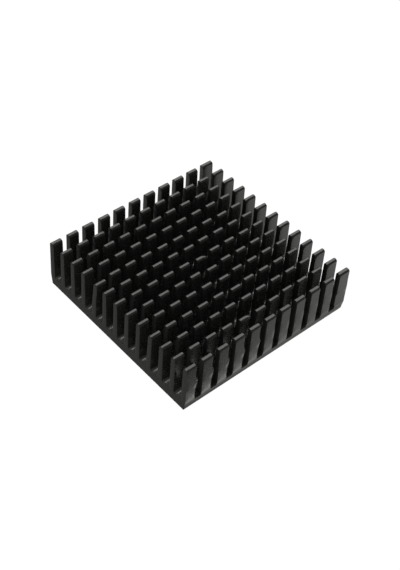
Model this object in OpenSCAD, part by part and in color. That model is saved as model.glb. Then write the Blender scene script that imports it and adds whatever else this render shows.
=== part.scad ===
// Pin fin heat sink: one length of black anodised aluminium extrusion,
// a thin base plate with tall fins, sawn across into a grid of upright pins.
// +X runs along the extrusion, +Y across the fins, +Z up from the underside,
// and the origin is the middle of the underside.

/* [Extrusion] */
// Length of the piece between its two sawn ends
length = 40.35; // [20:0.05:120]
// Width over the outer fins, at its widest
width = 40.3; // [36:0.1:64]
// Height from the underside to the fin tips
height = 10.9; // [6:0.1:40]
// Thickness of the plate under the channels
plate_t = 1.95; // [1.4:0.05:4]

/* [Fins] */
// Number of fins side by side
fin_count = 13; // [5:1:14]
// Thickness of a fin at its tip
fin_tip_t = 1.02; // [0.7:0.02:1.2]
// Thickness of a fin at the top of its root radii
fin_root_t = 1.2; // [0.9:0.02:1.5]
// Metal added to the outward side of the first and last fin
outer_fin_extra = 0.11; // [0.03:0.02:0.59]
// Radius along both edges of each tip
tip_r = 0.3; // [0.1:0.05:0.34]
// Radius in the roots of the channels
root_r = 0.75; // [0.2:0.05:1]

/* [Sides] */
// Height at which the long sides are widest
side_crest_h = 2.4; // [1.5:0.1:3.5]
// How far the underside stands in from the widest line
side_undercut = 0.38; // [0.1:0.02:1]
// How far an outer fin leans in from the widest line to its tip
side_lean = 0.1; // [0:0.02:0.2]
// Radius along both long edges of the underside
foot_r = 0.1; // [0.05:0.05:0.5]

/* [Saw cuts] */
// Number of cuts across the fins
cut_count = 10; // [1:1:11]
// Width of the saw
cut_w = 1.58; // [0.8:0.02:1.66]
// Height of the floor of each cut above the underside
cut_floor = 1.7; // [0.8:0.05:1.9]
// Radius at the corners of the saw's rim
cut_r = 0.2; // [0.1:0.05:0.35]
// Extra length left on the last row of pins, at the +X end
end_extra = 0.35; // [0:0.05:1]

/* [Hidden] */
$fn = 48;
eps = 0.01;

half_width = width / 2;
// The outer fins' own centre lines set the spacing of all the fins
edge_fin_offset = fin_root_t / 2 + outer_fin_extra;
fin_pitch = (width - 2 * edge_fin_offset) / (fin_count - 1);
channel_w = fin_pitch - fin_root_t;
root_fillet = min(root_r, channel_w / 2 - eps);
tip_fillet = min(tip_r, fin_tip_t / 2 - eps);
shoulder_h = height - tip_fillet;
pin_l = (length - end_extra - cut_count * cut_w) / (cut_count + 1);
pin_pitch = pin_l + cut_w;

// Centre of fin i across the width, counted from the -Y side
function fin_y(i) = (i - (fin_count - 1) / 2) * fin_pitch;

// Centre of saw cut i along the length, counted from the -X end
function cut_x(i) = (i - (cut_count - 1) / 2) * pin_pitch - end_extra / 2;

// Crown of a fin between y0 and y1: a flat with a radius along each edge
module fin_crown(y0, y1) {
    translate([y0 + tip_fillet, shoulder_h])
        circle(r = tip_fillet);
    translate([y1 - tip_fillet, shoulder_h])
        circle(r = tip_fillet);
    translate([y0 + tip_fillet, shoulder_h - eps])
        square([y1 - y0 - 2 * tip_fillet, tip_fillet + eps]);
}

// Inner fin: a blade that thins towards its rounded tip
module inner_fin() {
    root = fin_root_t / 2;
    tip = fin_tip_t / 2;
    root_h = plate_t + root_fillet;
    polygon([
        [-root, plate_t - eps], [root, plate_t - eps], [root, root_h],
        [tip, shoulder_h], [-tip, shoulder_h], [-root, root_h]
    ]);
    fin_crown(-tip, tip);
}

// Outer fin on the +Y side: its outward face leans in above and below the crest line
module outer_fin() {
    root = fin_root_t / 2;
    tip = fin_tip_t / 2;
    root_h = plate_t + root_fillet;
    crest = edge_fin_offset;
    outer_tip = crest - side_lean;
    polygon([
        [-root, plate_t - eps], [crest - side_undercut * (1 - plate_t / side_crest_h), plate_t - eps],
        [crest, side_crest_h], [outer_tip, shoulder_h],
        [-tip, shoulder_h], [-root, root_h]
    ]);
    fin_crown(-tip, outer_tip);
}

// Plate: flat underside, rounded long edges and sides that flare out upwards
module plate() {
    foot = half_width - side_undercut;
    flare = side_undercut / side_crest_h;
    polygon([
        [-foot + foot_r, 0], [foot - foot_r, 0],
        [foot + flare * foot_r, foot_r], [foot + flare * plate_t, plate_t],
        [-foot - flare * plate_t, plate_t], [-foot - flare * foot_r, foot_r]
    ]);
    for (side = [-1, 1])
        translate([side * (foot + flare * foot_r - foot_r), foot_r])
            circle(r = foot_r);
}

// Root of one channel: what two quarter-round radii leave standing on the plate
module channel_root() {
    w = channel_w;
    difference() {
        translate([-w / 2 - eps, plate_t - eps])
            square([w + 2 * eps, root_fillet + eps]);
        for (side = [-1, 1])
            translate([side * (w / 2 - root_fillet), plate_t + root_fillet])
                circle(r = root_fillet);
        translate([-w / 2 + root_fillet, plate_t])
            square([w - 2 * root_fillet, root_fillet + eps]);
    }
}

// Cross-section of the extrusion, drawn with Y across and Z up
module section() {
    plate();
    for (i = [1 : fin_count - 2])
        translate([fin_y(i), 0])
            inner_fin();
    translate([fin_y(fin_count - 1), 0])
        outer_fin();
    mirror([1, 0])
        translate([fin_y(fin_count - 1), 0])
            outer_fin();
    for (i = [0 : fin_count - 2])
        translate([fin_y(i + 0.5), 0])
            channel_root();
}

// Path of the saw through all the fins, with the corner radii of its rim
module saw_cut() {
    rotate([90, 0, 0])
        linear_extrude(height = width + 2, center = true) {
            translate([-cut_w / 2, cut_floor + cut_r])
                square([cut_w, height]);
            translate([-cut_w / 2 + cut_r, cut_floor])
                square([cut_w - 2 * cut_r, cut_r + eps]);
            for (side = [-1, 1])
                translate([side * (cut_w / 2 - cut_r), cut_floor + cut_r])
                    circle(r = cut_r);
        }
}

module heat_sink() {
    color([0.09, 0.09, 0.085])
        difference() {
            rotate([90, 0, 90])
                linear_extrude(height = length, center = true)
                    section();
            for (i = [0 : cut_count - 1])
                translate([cut_x(i), 0, 0])
                    saw_cut();
        }
}

heat_sink();
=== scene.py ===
import math
import random
import bmesh
import bpy
from mathutils import Euler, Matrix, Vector


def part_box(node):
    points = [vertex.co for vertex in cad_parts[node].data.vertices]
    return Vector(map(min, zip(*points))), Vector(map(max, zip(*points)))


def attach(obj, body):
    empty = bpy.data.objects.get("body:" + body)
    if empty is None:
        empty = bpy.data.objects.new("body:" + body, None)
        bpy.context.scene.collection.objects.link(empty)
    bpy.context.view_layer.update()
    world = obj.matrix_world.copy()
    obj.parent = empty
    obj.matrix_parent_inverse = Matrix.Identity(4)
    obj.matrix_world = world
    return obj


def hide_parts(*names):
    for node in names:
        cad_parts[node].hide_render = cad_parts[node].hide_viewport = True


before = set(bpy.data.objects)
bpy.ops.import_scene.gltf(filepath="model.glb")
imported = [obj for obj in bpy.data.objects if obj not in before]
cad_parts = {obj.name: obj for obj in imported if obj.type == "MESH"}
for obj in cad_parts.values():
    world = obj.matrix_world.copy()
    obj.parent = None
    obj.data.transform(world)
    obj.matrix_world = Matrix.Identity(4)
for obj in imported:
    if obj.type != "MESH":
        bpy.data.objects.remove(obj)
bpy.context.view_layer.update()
low, high = (Vector(corner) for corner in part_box("heat_sink"))
MM = 0.001
scene = bpy.context.scene

# ---- Camera ----------------------------------------------------------------------------
# A product camera on a stand, front left and above, looking down on one corner of the
# heat sink along the diagonal of its pin grid. It is tipped a little to one side.
camera_place = Vector((-105.105, -107.62, 159.93)) * MM
camera_down = math.radians(46.217)
camera_heading = math.radians(44.512)
camera_tip = math.radians(4.997)
camera_data = bpy.data.cameras.new("camera")
camera_data.sensor_width = 36.0
camera_data.lens = 70.93
camera_data.clip_start = 0.01
camera_data.clip_end = 10.0
camera = bpy.data.objects.new("camera", camera_data)
scene.collection.objects.link(camera)
aim = Euler((math.pi / 2 - camera_down, 0.0, -camera_heading)).to_matrix()
tip = Euler((0.0, 0.0, camera_tip)).to_matrix()
camera.matrix_world = (aim @ tip).to_4x4()
camera.location = camera_place
scene.camera = camera

# ---- Extruded section ------------------------------------------------------------------
# The bar that the heat sink is cut from: aluminium pushed through a die into a thin plate
# with thirteen tall fins. The fins thin towards flat tips with sloped edges, and meet the
# plate in round roots. The long sides flare out to a crest just above the plate.
length = (high.x - low.x) / MM
width = (high.y - low.y) / MM
height = (high.z - low.z) / MM
fin_count = 13
fin_tip_t = 1.02
fin_root_t = 1.2
outer_fin_extra = 0.11
plate_t = 1.95
root_r = 0.75
tip_r = 0.3
tip_facet = 0.3
tip_edge = 0.012
side_crest_h = 2.4
side_undercut = 0.38
side_lean = 0.1
foot_r = 0.1
arc_steps = 4
wall_heights = (3.3, 4.0, 4.8, 5.4, 5.9, 6.5, 7.1, 7.7, 8.8, 9.8)
edge_offset = fin_root_t / 2 + outer_fin_extra
fin_pitch = (width - 2 * edge_offset) / (fin_count - 1)
foot_y = width / 2 - side_undercut
shoulder_h = height - tip_r


def fin_y(fin):
    """Centre line of a fin across the width, counted from the -Y side."""
    return (fin - (fin_count - 1) / 2) * fin_pitch


def side_y(z):
    """How far a long side stands out at height z, below its crest."""
    if z >= foot_r:
        return foot_y + side_undercut * z / side_crest_h
    centre = foot_y + side_undercut * foot_r / side_crest_h - foot_r
    return centre + math.sqrt(max(foot_r ** 2 - (foot_r - z) ** 2, 0.0))


def arc_point(step):
    """Sine and cosine of one step round a quarter circle."""
    turn = math.pi / 2 * step / arc_steps
    return math.sin(turn), math.cos(turn)


def inner_face():
    """Half thickness and height of a fin's face, from the channel floor to its flat tip."""
    face = []
    for step in range(arc_steps + 1):
        rise, run = arc_point(step)
        face.append((fin_root_t / 2 + root_r * (1 - rise), plate_t + root_r * (1 - run)))
    root_h = plate_t + root_r
    for z in wall_heights:
        share = (z - root_h) / (shoulder_h - root_h)
        face.append(((fin_root_t + (fin_tip_t - fin_root_t) * share) / 2, z))
    slope = tip_edge * math.sqrt(0.5)
    for back, down in ((0.0, tip_facet + tip_edge), (slope, tip_facet - slope),
                       (tip_facet - slope, slope), (tip_facet + tip_edge, 0.0)):
        face.append((fin_tip_t / 2 - back, height - down))
    return face


def outward_face():
    """The outward face of an outer fin, from its centre line, level by level with the inner one."""
    face = []
    # The crest stands level with the upper part of the root on the other side of the fin
    crest_level = arc_steps - 1
    for level, (half, z) in enumerate(inner_face()):
        if level == crest_level:
            z = side_crest_h
        if z <= side_crest_h:
            reach = side_y(z) - fin_y(fin_count - 1)
        else:
            share = (min(z, shoulder_h) - side_crest_h) / (shoulder_h - side_crest_h)
            reach = edge_offset - side_lean * share
        if z > shoulder_h:
            reach -= fin_tip_t / 2 - half
        face.append((reach, z))
    return face


# ---- Rows of pins ----------------------------------------------------------------------
# A gang saw crosses the fins ten times, a little below the channel floors, and leaves
# eleven rows of pins, the last a little longer than the rest. The blades leave a small
# radius along each cut, and tumbling takes the sharp edge off every rim.
cut_count = 10
cut_w = 1.58
cut_floor = 1.7
cut_r = 0.2
cut_r_steps = 3
rim_r = 0.03
end_extra = 0.35
row_count = cut_count + 1
pin_l = (length - end_extra - cut_count * cut_w) / row_count
row_pitch = pin_l + cut_w
body_steps = 3
plate_heights = (1.35, 0.8)
EXTRUDED, SAWN = 0, 1
corners = []
corner_wear_and_highlight = []
walls = []
finishes = []


def corner(x, y, z, wear_and_highlight=0.0):
    """Adds a corner to the body and gives its number."""
    corners.append((x, y, z))
    corner_wear_and_highlight.append(wear_and_highlight)
    return len(corners) - 1


def sheet(first, second, finish):
    """Quads between two rows of corners."""
    for a, b, c, d in zip(first, first[1:], second[1:], second):
        walls.append((a, b, c, d))
        finishes.append(finish)


def inset(line, amount):
    """An outline that runs with the metal on its right, moved into the metal by amount."""
    moved = []
    for at, (y, z) in enumerate(line):
        before = line[max(at - 1, 0)]
        after = line[min(at + 1, len(line) - 1)]
        run = Vector((after[0] - before[0], after[1] - before[1])).normalized()
        moved.append((y + run.y * amount, z - run.x * amount))
    return moved


inner = inner_face()
outward = outward_face()
levels = len(inner)
fin_span = 2 * levels + 2
comb = []
for fin in range(fin_count):
    near = outward if fin == 0 else inner
    far = outward if fin == fin_count - 1 else inner
    comb += [(fin_y(fin) - reach, z) for reach, z in near]
    comb.append((fin_y(fin) + (far[-1][0] - near[-1][0]) / 2, height))
    comb += [(fin_y(fin) + reach, z) for reach, z in reversed(far)]
    if fin < fin_count - 1:
        comb.append((fin_y(fin + 0.5), plate_t))

# Places across the plate: the two feet and the middle of each fin, and each channel's middle
across = []
for fin in range(fin_count):
    start = fin * fin_span
    across += [comb[start][0], fin_y(fin), comb[start + 2 * levels][0]]
    if fin < fin_count - 1:
        across.append(fin_y(fin + 0.5))


def plate_line(top_z):
    """The plate's outline from the foot of a cut on the -Y side, round below to the +Y side."""
    side = [(side_y(top_z), top_z)]
    side += [(side_y(z), z) for z in plate_heights]
    for step in range(arc_steps):
        rise, run = arc_point(arc_steps - step)
        side.append((side_y(foot_r * (1 - run)), foot_r * (1 - run)))
    flat = side_y(0.0)
    line = [(-y, z) for y, z in side]
    line.append((-flat, 0.0))
    line += [(y, 0.0) for y in across[1:-1]]
    line.append((flat, 0.0))
    line += reversed(side)
    return line


side_rows = 1 + len(plate_heights) + arc_steps


def plate_ring(x, top_z, amount=0.0):
    """The plate's outline as corners at x, drawn in by amount at the open ends."""
    line = plate_line(top_z)
    if amount:
        line = [(y, z) for y, z in inset(line[::-1], amount)][::-1]
    return [corner(x, y, z) for y, z in line]


def top_row(x, ring, top_z):
    """The plate's top at x, between the two sides of its ring."""
    return [ring[0]] + [corner(x, y, top_z) for y in across[1:-1]] + [ring[-1]]


# ---- Handling marks --------------------------------------------------------------------
# The pins are soft and stand close, so a few are bent over by handling, most of them in
# the middle row. The others lean a few hundredths. The saw has pushed the free edges of
# the nearest long side out of line, and has rolled a lip over on two tips.
bend_from = 2.6
bend_power = 1.5
# Tip shift along the fin and across it, by row and fin
bent = {
    (5, 1): (0.1, -0.62), (4, 1): (0.0, -0.5), (3, 1): (0.0, -0.16), (6, 1): (0.0, -0.24),
    (5, 2): (0.08, -0.12), (5, 3): (0.1, -0.43), (5, 4): (0.08, -0.4), (5, 5): (0.0, -0.45),
    (5, 6): (0.05, -0.4), (5, 7): (0.0, -0.15), (5, 8): (0.04, -0.22), (5, 9): (0.06, -0.15),
    (5, 10): (0.1, -0.18), (4, 8): (0.0, -0.2), (0, 8): (0.0, -0.6), (0, 3): (0.05, -0.18),
    (0, 4): (0.2, 0.15), (8, 8): (0.0, -0.18), (4, 6): (0.0, -0.1), (1, 5): (0.0, -0.1),
    (8, 12): (-0.08, 0.0), (9, 12): (-0.22, 0.0), (10, 12): (-0.12, 0.0),
}
lean_spread = 0.035
# The whole last row leans back a little, its far fins more
last_lean = 0.08
last_far_lean = 0.13
far_fins_from = 7
most_height_lost = 0.015
# The push bulges at mid height and draws in above and below: height, spread, share
near_push = 0.36
slight_push = 0.07
pushed_rows = 5
push_shape = ((6.5, 0.75, 1.0), (8.8, 0.9, -0.3), (3.3, 0.8, -0.45))
push_from = -0.2
# The corner pin at the +X end of the nearest side was left wider below this height
ledge_depth = 0.22
ledge_top = 5.9
ledge_blend = 0.5
rolled = {(5, 6): 0.3, (4, 1): 0.22}
lip_height = 0.9
lip_from = 0.2
chance = random.Random(13)


def pin_marks(row, fin):
    """How one pin departs from the drawing: tip shift, height lost, push, ledge and lip."""
    dx, dy = bent.get((row, fin), (0.0, 0.0))
    dx += chance.uniform(-lean_spread, lean_spread)
    dy += chance.uniform(-lean_spread, lean_spread)
    if row == 0:
        dx = max(dx, 0.0)
    if row == row_count - 1:
        dx = min(dx, 0.0) - (last_lean if fin < far_fins_from else last_far_lean)
    low_by = chance.uniform(0.0, most_height_lost)
    push = 0.0
    if fin == 0:
        push = near_push if row < pushed_rows else slight_push
    ledge = ledge_depth if (row, fin) == (row_count - 1, 0) else 0.0
    return dx, dy, low_by, push, ledge, rolled.get((row, fin), 0.0)


def ease(value):
    """A soft step from 0 to 1."""
    value = min(max(value, 0.0), 1.0)
    return value * value * (3 - 2 * value)


def marked(place, marks, along):
    """A corner of a pin after handling; along runs from -1 to 1 over the pin's length."""
    x, y, z = place
    dx, dy, low_by, push, ledge, roll_by = marks
    rise = max(z - bend_from, 0.0) / (height - bend_from)
    x += dx * rise ** bend_power
    y += dy * rise ** bend_power
    z -= low_by * rise
    if push:
        edge = ease((along - push_from) / (1 - push_from))
        for middle, spread, share in push_shape:
            x += edge * share * push * math.exp(-((z - middle) / spread) ** 2)
    if ledge:
        x -= ledge * ease(-along) * ease((ledge_top - z) / ledge_blend)
    if roll_by:
        fold = ease((along - lip_from) / (1 - lip_from))
        fold *= ease((z - height + lip_height) / lip_height)
        y -= roll_by * fold
        z -= roll_by / 2 * fold
    x = min(max(x, -length / 2), length / 2)
    y = min(max(y, -width / 2), width / 2)
    return x, y, z


# ---- The one-piece body ----------------------------------------------------------------
# Plate, fins and pins are a single piece of aluminium. Its faces are laid row by row:
# the comb of fins, the sawn faces at both ends of each row, and the cut floor between.
# A rim turns from the sawn face to the fin's face in two steps, in shares of its radius
bevel = [(0.0, 1.0), (1 - math.sqrt(0.5), 1 - math.sqrt(0.5)), (1.0, 0.0)]
# Share of the paler colour: a little real wear on the rims, and a painted highlight in the channel
# roots
rim_wear = 0.05
root_painted_highlight = 1.0
for row in range(row_count):
    x_start = -length / 2 + row * row_pitch
    x_end = x_start + pin_l + (end_extra if row == cut_count else 0.0)
    stations = [(x_start + out * rim_r, into * rim_r) for out, into in bevel]
    straight = x_end - x_start - 2 * rim_r
    stations += [(x_start + rim_r + straight * n / body_steps, 0.0) for n in range(1, body_steps)]
    stations += [(x_end - out * rim_r, into * rim_r) for out, into in reversed(bevel)]
    marks = [pin_marks(row, fin) for fin in range(fin_count)]
    lines = {amount: inset(comb, amount) for amount in {into for _, into in stations}}
    last_ring = None
    for number, (x, into) in enumerate(stations):
        along = 2 * (x - x_start) / (x_end - x_start) - 1
        line = lines[into]
        ring = []
        for at, (y, z) in enumerate(line):
            fin = min(at // fin_span, fin_count - 1)
            on_rim = into > 0 or comb[at][1] > shoulder_h
            place = (x, y, z)
            if comb[at][1] > bend_from:
                place = marked(place, marks[fin], along)
            # Rims get a little wear; the channel roots get a painted highlight, a paler colour
            # standing in for the gleam along their fillets
            in_root = comb[at][1] < plate_t + root_r / 2
            wear_and_highlight = rim_wear if on_rim else root_painted_highlight if in_root else 0.0
            ring.append(corner(*place, wear_and_highlight))
        open_end = (row == 0 and x < x_start + rim_r / 2) or (
            row == row_count - 1 and x > x_end - rim_r / 2)
        foot_z = cut_floor + cut_r
        if number == 0 and row > 0:
            plate = last_plate
        else:
            plate = plate_ring(x, foot_z, into if open_end else 0.0)
        if last_ring is not None:
            sheet(last_ring, ring, EXTRUDED)
            sheet(last_plate, plate, EXTRUDED)
            for end in (0, -1):
                walls.append((last_plate[end], plate[end], ring[end], last_ring[end]))
                finishes.append(EXTRUDED)
        if number in (0, len(stations) - 1):
            top = last_top if number == 0 and row > 0 else top_row(x, plate, foot_z)
            feet = []
            for fin in range(fin_count):
                start = fin * fin_span
                mids = []
                for level in range(levels - 1):
                    a = Vector(corners[ring[start + level]])
                    b = Vector(corners[ring[start + 2 * levels - level]])
                    mids.append(corner(*((a + b) / 2)))
                mids.append(ring[start + levels])
                near = ring[start:start + levels]
                far = [ring[start + 2 * levels - level] for level in range(levels)]
                sheet(near, mids, SAWN)
                sheet(mids, far, SAWN)
                feet += [near[0], mids[0], far[0]]
                if fin < fin_count - 1:
                    feet.append(ring[start + 2 * levels + 1])
            sheet(feet, top, SAWN)
            if open_end:
                above = top
                for depth in range(1, side_rows + 1):
                    ends = plate[depth], plate[-1 - depth]
                    z = corners[ends[0]][2]
                    if depth == side_rows:
                        below = plate[side_rows:len(plate) - side_rows]
                    else:
                        below = [ends[0]] + [corner(x, y, z) for y in across[1:-1]] + [ends[1]]
                    sheet(above, below, SAWN)
                    above = below
        last_ring = ring
        last_plate = plate
        last_top = top
    if row < cut_count:
        floor_stations = []
        for step in range(1, cut_r_steps + 1):
            turn = math.pi / 2 * step / cut_r_steps
            floor_stations.append((cut_r * (1 - math.cos(turn)), cut_r * (1 - math.sin(turn))))
        half = [(x_end + out, cut_floor + up) for out, up in floor_stations]
        other = [(x_end + cut_w - out, cut_floor + up) for out, up in reversed(floor_stations)]
        other.append((x_end + cut_w, cut_floor + cut_r))
        for x, z in half + [(x_end + cut_w / 2, cut_floor)] + other:
            plate = plate_ring(x, z)
            top = top_row(x, plate, z)
            sheet(last_plate, plate, EXTRUDED)
            sheet(last_top, top, SAWN)
            last_plate = plate
            last_top = top

mesh = bpy.data.meshes.new("sawn_extrusion")
mesh.from_pydata([tuple(value * MM for value in place) for place in corners], [], walls)
mesh.polygons.foreach_set("material_index", finishes)
# Paler colour share per corner: wear on the rims, and a painted highlight in the channel roots
rim_wear_and_root_highlight = mesh.attributes.new("rim_wear_and_root_highlight", "FLOAT", "POINT")
rim_wear_and_root_highlight.data.foreach_set("value", corner_wear_and_highlight)
mesh.shade_smooth()
mesh.update()
# The sloped edges of the tips stay crisp
crown = {at for at, place in enumerate(corners) if place[2] > height - tip_facet / 2}
crown_angle = math.radians(15)
body = bpy.data.objects.new("sawn_extrusion", mesh)
scene.collection.objects.link(body)
bm = bmesh.new()
bm.from_mesh(mesh)
bmesh.ops.recalc_face_normals(bm, faces=bm.faces)
for edge in bm.edges:
    if all(vert.index in crown for vert in edge.verts) and edge.calc_face_angle(0.0) > crown_angle:
        edge.smooth = False
bm.to_mesh(mesh)
bm.free()
flow = body.modifiers.new("flat_faces", "WEIGHTED_NORMAL")
flow.keep_sharp = True
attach(body, "root")
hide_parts("heat_sink")


# ---- Anodised finish -------------------------------------------------------------------
# Black anodising over bare aluminium. It is satin along the extruded faces, where faint
# die lines run with the fins, and duller over the sawn faces, where the blade has left
# fine marks. The rims are a little paler from wear, and the channel roots are made paler
# still as a painted highlight along their fillets.
def anodised(name, stretch, turn, dull, bright, mark_depth):
    """Anodised finish with its marks stretched and turned to suit the face."""
    material = bpy.data.materials.new(name)
    material.use_nodes = True
    nodes = material.node_tree.nodes
    links = material.node_tree.links
    shader = nodes["Principled BSDF"]
    place = nodes.new("ShaderNodeTexCoord")
    mapping = nodes.new("ShaderNodeMapping")
    mapping.inputs["Scale"].default_value = stretch
    mapping.inputs["Rotation"].default_value = turn
    lines = nodes.new("ShaderNodeTexNoise")
    lines.inputs["Scale"].default_value = 1.0
    lines.inputs["Detail"].default_value = 3.0
    grain = nodes.new("ShaderNodeTexNoise")
    grain.inputs["Scale"].default_value = 2600.0
    grain.inputs["Detail"].default_value = 4.0
    links.new(place.outputs["Object"], mapping.inputs["Vector"])
    links.new(mapping.outputs["Vector"], lines.inputs["Vector"])
    links.new(place.outputs["Object"], grain.inputs["Vector"])
    gloss = nodes.new("ShaderNodeMapRange")
    gloss.inputs["To Min"].default_value = bright
    gloss.inputs["To Max"].default_value = dull
    gloss.inputs["From Min"].default_value = 0.3
    gloss.inputs["From Max"].default_value = 0.7
    links.new(grain.outputs["Fac"], gloss.inputs["Value"])
    links.new(gloss.outputs["Result"], shader.inputs["Roughness"])
    # The paler colour is wear on the rims and a painted highlight in the channel roots
    wear_and_highlight = nodes.new("ShaderNodeAttribute")
    wear_and_highlight.attribute_name = "rim_wear_and_root_highlight"
    patchy = nodes.new("ShaderNodeMath")
    patchy.operation = "MULTIPLY"
    links.new(wear_and_highlight.outputs["Fac"], patchy.inputs[0])
    links.new(grain.outputs["Fac"], patchy.inputs[1])
    dye_and_root_highlight = nodes.new("ShaderNodeMix")
    dye_and_root_highlight.data_type = "RGBA"
    dye_and_root_highlight.inputs["A"].default_value = (0.024, 0.024, 0.0222, 1.0)
    dye_and_root_highlight.inputs["B"].default_value = (0.15, 0.15, 0.141, 1.0)
    links.new(patchy.outputs["Value"], dye_and_root_highlight.inputs["Factor"])
    links.new(dye_and_root_highlight.outputs["Result"], shader.inputs["Base Color"])
    relief = nodes.new("ShaderNodeBump")
    relief.inputs["Strength"].default_value = 0.4
    relief.inputs["Distance"].default_value = mark_depth
    links.new(lines.outputs["Fac"], relief.inputs["Height"])
    links.new(relief.outputs["Normal"], shader.inputs["Normal"])
    shader.inputs["Metallic"].default_value = 0.0
    shader.inputs["IOR"].default_value = 1.55
    return material


mesh.materials.append(anodised(
    "anodised_extruded_face", stretch=(40.0, 2600.0, 2600.0), turn=(0.0, 0.0, 0.0),
    dull=0.3, bright=0.24, mark_depth=0.01 * MM))
mesh.materials.append(anodised(
    "anodised_sawn_face", stretch=(300.0, 3200.0, 260.0), turn=(0.35, 0.0, 0.0),
    dull=0.44, bright=0.36, mark_depth=0.02 * MM))

# ---- Floor and light -------------------------------------------------------------------
# A white table in a studio. A large softbox stands behind the object at the height at
# which the flat tips mirror it, and a narrower lamp hangs overhead. The room is dim.
lamp_tint = (1.0, 1.0, 0.97)
softbox_way = Vector((0.484, 0.494, 0.722)).normalized()
softbox_distance = 0.6
softbox_size = 0.42
softbox_radiance = 2.3
softbox = bpy.data.lights.new("softbox", "AREA")
softbox.shape = "SQUARE"
softbox.size = softbox_size
softbox.color = lamp_tint
softbox.energy = softbox_radiance * math.pi * softbox_size ** 2
softbox_lamp = bpy.data.objects.new("softbox", softbox)
scene.collection.objects.link(softbox_lamp)
softbox_lamp.location = softbox_way * softbox_distance
softbox_lamp.rotation_euler = softbox_way.to_track_quat("Z", "Y").to_euler()

# The lamp overhead is longer along the fins and looks down into the channels
strip_way = Vector((0.484, -0.02, 0.875)).normalized()
strip_distance = 0.6
strip_long = 0.3
strip_wide = 0.2
strip_radiance = 5.2
strip = bpy.data.lights.new("strip", "AREA")
strip.shape = "RECTANGLE"
strip.size = strip_long
strip.size_y = strip_wide
strip.color = lamp_tint
strip.energy = strip_radiance * math.pi * strip_long * strip_wide
strip_lamp = bpy.data.objects.new("strip", strip)
scene.collection.objects.link(strip_lamp)
strip_lamp.location = strip_way * strip_distance
strip_lamp.rotation_euler = (0.0, math.atan2(strip_way.x, strip_way.z), 0.0)

# The table lies a hair below the underside, so that the two don't share a plane
table_half = 1.5
table_mesh = bpy.data.meshes.new("table")
table_mesh.from_pydata(
    [(-table_half, -table_half, 0), (table_half, -table_half, 0),
     (table_half, table_half, 0), (-table_half, table_half, 0)], [], [(0, 1, 2, 3)])
table = bpy.data.objects.new("table", table_mesh)
scene.collection.objects.link(table)
table.location.z = -0.02 * MM
white = bpy.data.materials.new("white_table")
white.use_nodes = True
nodes = white.node_tree.nodes
links = white.node_tree.links
matt = nodes["Principled BSDF"]
matt.inputs["Base Color"].default_value = (0.8, 0.8, 0.8, 1.0)
matt.inputs["Roughness"].default_value = 0.9
matt.inputs["Specular IOR Level"].default_value = 0.0
path = nodes.new("ShaderNodeLightPath")

# What the camera sees of the table is plain white with a soft shadow
paper = nodes.new("ShaderNodeEmission")
paper.inputs["Strength"].default_value = 1.05
seen = nodes.new("ShaderNodeMath")
seen.operation = "MULTIPLY"
seen.inputs[1].default_value = 0.95
blend = nodes.new("ShaderNodeMixShader")
links.new(path.outputs["Is Camera Ray"], seen.inputs[0])
links.new(seen.outputs["Value"], blend.inputs["Fac"])
links.new(matt.outputs["BSDF"], blend.inputs[1])
links.new(paper.outputs["Emission"], blend.inputs[2])

# What the metal mirrors of the table is painted light: glossy-ray emission paints a pool of light
# along the near long side, brightest at its -X end, over a painted level that rises towards +X,
# with painted shade close to the side
pool_reach = 10 * MM
beside = 0.65
place = nodes.new("ShaderNodeTexCoord")
axes = nodes.new("ShaderNodeSeparateXYZ")
away = nodes.new("ShaderNodeMapRange")
away.inputs["From Min"].default_value = low.y
away.inputs["From Max"].default_value = low.y - pool_reach
pool = nodes.new("ShaderNodeValToRGB")
pool.color_ramp.interpolation = "B_SPLINE"
pool_stops = ((0.0, 0.01), (0.08, 0.52), (0.15, 0.94), (0.19, 0.36),
              (0.3, 0.06), (0.6, 0.02), (1.0, 0.01))
for stop, value in pool_stops[2:]:
    pool.color_ramp.elements.new(stop)
for element, (stop, value) in zip(pool.color_ramp.elements, pool_stops):
    element.position = stop
    element.color = (value, value, value, 1.0)
fade = nodes.new("ShaderNodeMapRange")
fade.interpolation_type = "SMOOTHSTEP"
fade.inputs["From Min"].default_value = low.x
fade.inputs["From Max"].default_value = high.x + 5 * MM
fade.inputs["To Min"].default_value = 2.1
fade.inputs["To Max"].default_value = 0.05
glow_here = nodes.new("ShaderNodeMath")
glow_here.operation = "MULTIPLY"
level = nodes.new("ShaderNodeMapRange")
level.inputs["From Min"].default_value = low.x
level.inputs["From Max"].default_value = high.x + 8 * MM
level.inputs["To Min"].default_value = 0.05
level.inputs["To Max"].default_value = 0.7
# Painted shade: the mirrored level drops to the beside share at the near long side and under the
# body
contact = nodes.new("ShaderNodeMapRange")
contact.inputs["From Min"].default_value = low.y
contact.inputs["From Max"].default_value = low.y - 2.2 * MM
contact.inputs["To Min"].default_value = beside
behind = nodes.new("ShaderNodeMapRange")
behind.inputs["From Min"].default_value = low.y
behind.inputs["From Max"].default_value = low.y + 0.5 * MM
behind.inputs["To Min"].default_value = beside
brighter = nodes.new("ShaderNodeMath")
brighter.operation = "MAXIMUM"
shaded = nodes.new("ShaderNodeMath")
shaded.operation = "MULTIPLY"
total = nodes.new("ShaderNodeMath")
total.operation = "ADD"
# The table glows in what is mirrored, though it is no lamp: a painted reflection
glow = nodes.new("ShaderNodeEmission")
glow.inputs["Color"].default_value = (1.0, 1.0, 0.965, 1.0)
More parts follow.
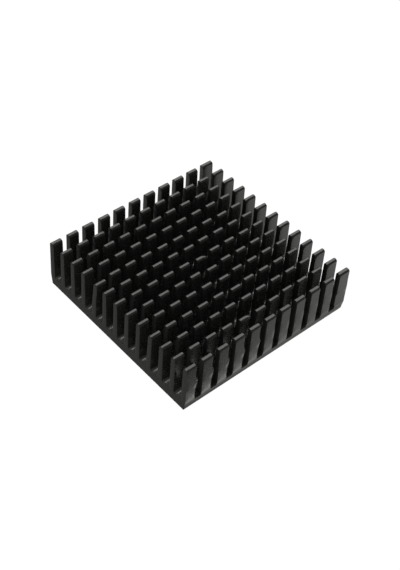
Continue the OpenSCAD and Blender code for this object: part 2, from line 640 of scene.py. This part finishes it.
mirrored = nodes.new("ShaderNodeMixShader")
links.new(place.outputs["Object"], axes.inputs["Vector"])
links.new(axes.outputs["Y"], away.inputs["Value"])
links.new(away.outputs["Result"], pool.inputs["Fac"])
links.new(axes.outputs["X"], fade.inputs["Value"])
links.new(pool.outputs["Color"], glow_here.inputs[0])
links.new(fade.outputs["Result"], glow_here.inputs[1])
links.new(axes.outputs["X"], level.inputs["Value"])
links.new(glow_here.outputs["Value"], total.inputs[0])
links.new(axes.outputs["Y"], contact.inputs["Value"])
links.new(level.outputs["Result"], shaded.inputs[0])
links.new(axes.outputs["Y"], behind.inputs["Value"])
links.new(contact.outputs["Result"], brighter.inputs[0])
links.new(behind.outputs["Result"], brighter.inputs[1])
links.new(brighter.outputs["Value"], shaded.inputs[1])
links.new(shaded.outputs["Value"], total.inputs[1])
links.new(total.outputs["Value"], glow.inputs["Strength"])
links.new(path.outputs["Is Glossy Ray"], mirrored.inputs["Fac"])
links.new(blend.outputs["Shader"], mirrored.inputs[1])
links.new(glow.outputs["Emission"], mirrored.inputs[2])
links.new(mirrored.outputs["Shader"], nodes["Material Output"].inputs["Surface"])
table_mesh.materials.append(white)

# The room: plain white to the eye, soft light all round, and nearly dark in what is mirrored
world = bpy.data.worlds.new("room")
scene.world = world
world.use_nodes = True
nodes = world.node_tree.nodes
links = world.node_tree.links
room = nodes["Background"]
room.inputs["Color"].default_value = (1.0, 1.0, 1.0, 1.0)
room_level = 0.35
room_in_gloss = 0.06
path = nodes.new("ShaderNodeLightPath")
gloss = nodes.new("ShaderNodeMapRange")
gloss.inputs["To Min"].default_value = room_level
gloss.inputs["To Max"].default_value = room_in_gloss
backdrop = nodes.new("ShaderNodeMath")
backdrop.operation = "MAXIMUM"
links.new(path.outputs["Is Glossy Ray"], gloss.inputs["Value"])
links.new(gloss.outputs["Result"], backdrop.inputs[0])
links.new(path.outputs["Is Camera Ray"], backdrop.inputs[1])
links.new(backdrop.outputs["Value"], room.inputs["Strength"])
scene.view_settings.view_transform = "Standard"
